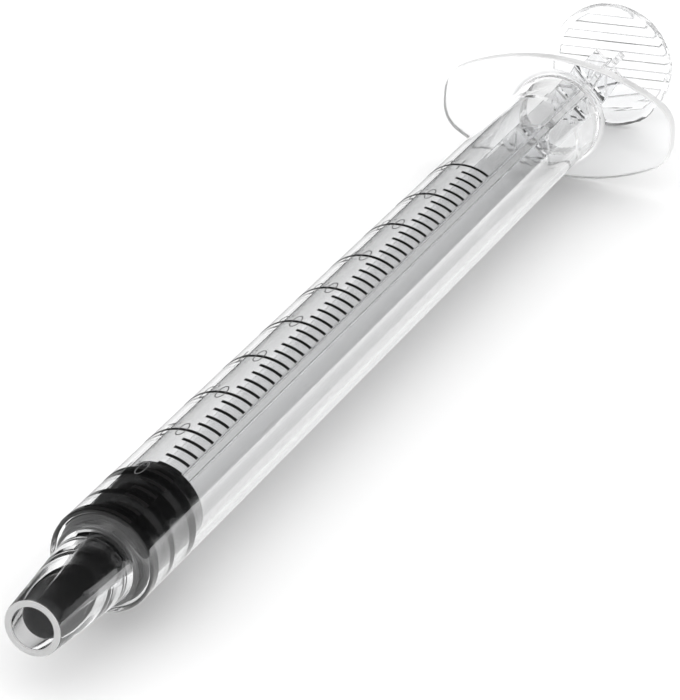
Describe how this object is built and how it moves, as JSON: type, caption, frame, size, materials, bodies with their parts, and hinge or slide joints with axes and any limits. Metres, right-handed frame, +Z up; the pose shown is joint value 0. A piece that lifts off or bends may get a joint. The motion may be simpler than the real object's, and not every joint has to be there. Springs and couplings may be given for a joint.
{
  "type": "oral syringe",
  "caption": "Slim clear oral syringe with a tapered tip, a printed volume scale, a finger flange, a black rubber stopper and a plunger rod that ends in a ridged thumb disc.",
  "frame": {"origin": "on the surface that the syringe lies on, under the middle of its length", "axes": "+Y along the barrel's axis from the tip to the thumb disc, +X along the flange's long side, +Z up"},
  "size_m": [0.0158, 0.0862, 0.0084],
  "materials": {
    "barrel_plastic": "clear, polished",
    "rod_plastic": "clear with a faint cool tint, polished",
    "rubber": "smooth black rubber, wetted with silicone",
    "ink": "thin black print on the barrel"
  },
  "bodies": {
    "barrel": {"barrel": "barrel_plastic"},
    "stopper": {"stopper": "rubber"},
    "plunger_rod": {"plunger_rod": "rod_plastic"}
  },
  "joints": [
    {"name": "plunger_slide", "type": "slide", "parent": "barrel", "child": "stopper", "axis": [0, 1, 0], "range_m": [0, 0.0572]},
    {"name": "rod_turn", "type": "hinge", "parent": "stopper", "child": "plunger_rod", "pos_m": [0, 0, 0.00419], "axis": [0, 1, 0], "continuous": true}
  ]
}
